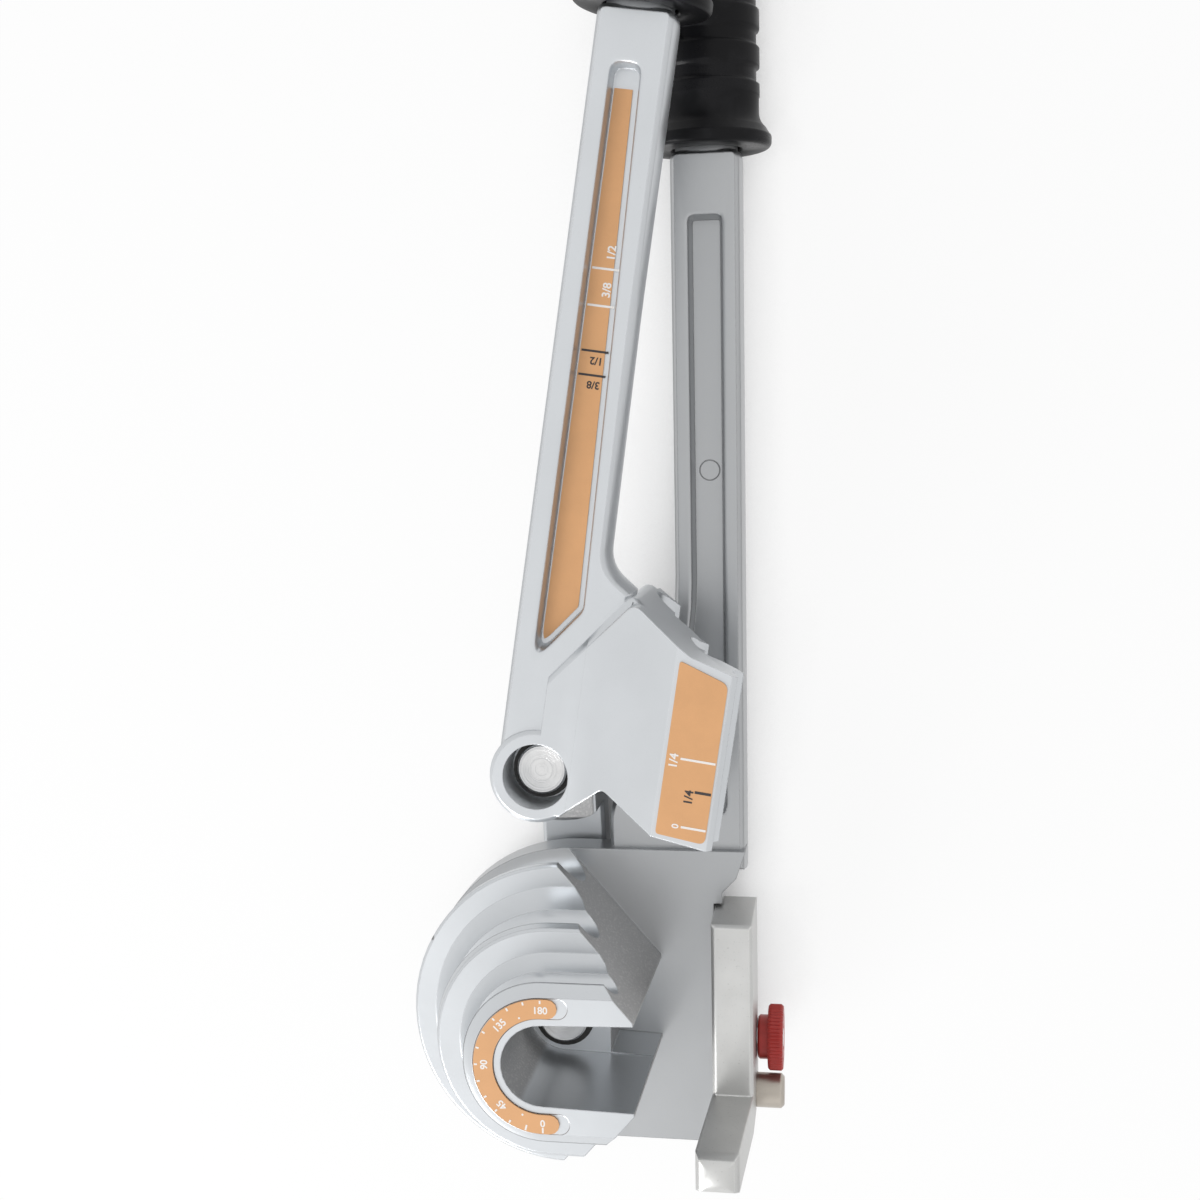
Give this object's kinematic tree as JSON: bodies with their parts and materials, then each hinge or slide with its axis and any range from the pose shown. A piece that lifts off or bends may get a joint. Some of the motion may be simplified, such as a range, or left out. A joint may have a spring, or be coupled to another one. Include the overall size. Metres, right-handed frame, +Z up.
{
  "type": "tube bender",
  "caption": "Hand lever tube bender: a stacked round bending form on a handle, a pivoting link, a lever with a matching stepped shoe, and a sliding hook with a thumb screw.",
  "frame": {"origin": "on the axis of the bending form, in the plane that the pin heads lie on", "axes": "+Z up along the form's axis, +Y along the fixed handle, +X across the form towards the hook"},
  "size_m": [0.0912, 0.3852, 0.0694],
  "materials": {
    "cast_metal": "satin casting with a fine grain",
    "hook_metal": "tumbled satin",
    "turned_steel": "bright turned",
    "black_steel": "blackened",
    "black_rubber": "moulded matt",
    "orange_label": "printed label",
    "red_knob": "red, finely knurled"
  },
  "bodies": {
    "body": {"body_casting": "cast_metal", "body_form": "cast_metal", "body_grip": "black_rubber", "centre_pin": "turned_steel", "centre_pin_ring": "black_steel", "centre_washer": "turned_steel", "angle_scale_label": "orange_label"},
    "link": {"link_arm": "cast_metal", "lever_pin": "turned_steel", "lever_pin_ring": "black_steel", "lever_washer": "turned_steel"},
    "lever": {"lever_casting": "cast_metal", "lever_shoe": "cast_metal", "lever_grip": "black_rubber", "handle_scale_label": "orange_label", "shoe_scale_label": "orange_label"},
    "hook": {"hook": "hook_metal", "hook_side_pin": "hook_metal"},
    "knob": {"hook_knob": "red_knob", "hook_screw": "turned_steel"}
  },
  "joints": [
    {"name": "link_swing", "type": "hinge", "parent": "body", "child": "link", "pos_m": [0, 0, 0.0078], "axis": [0, 0, 1], "range_deg": [-2.3, 177.7]},
    {"name": "lever_swing", "type": "hinge", "parent": "link", "child": "lever", "pos_m": [-0.00257, 0.06395, 0.04], "axis": [0, 0, 1], "range_deg": [-78.8, 100]},
    {"name": "hook_slide", "type": "slide", "parent": "body", "child": "hook", "axis": [0, -1, 0], "range_m": [0, 0.0256]},
    {"name": "knob_turn", "type": "hinge", "parent": "hook", "child": "knob", "pos_m": [0.0495, -0.0117, 0.0184], "axis": [1, 0, 0], "continuous": true}
  ]
}
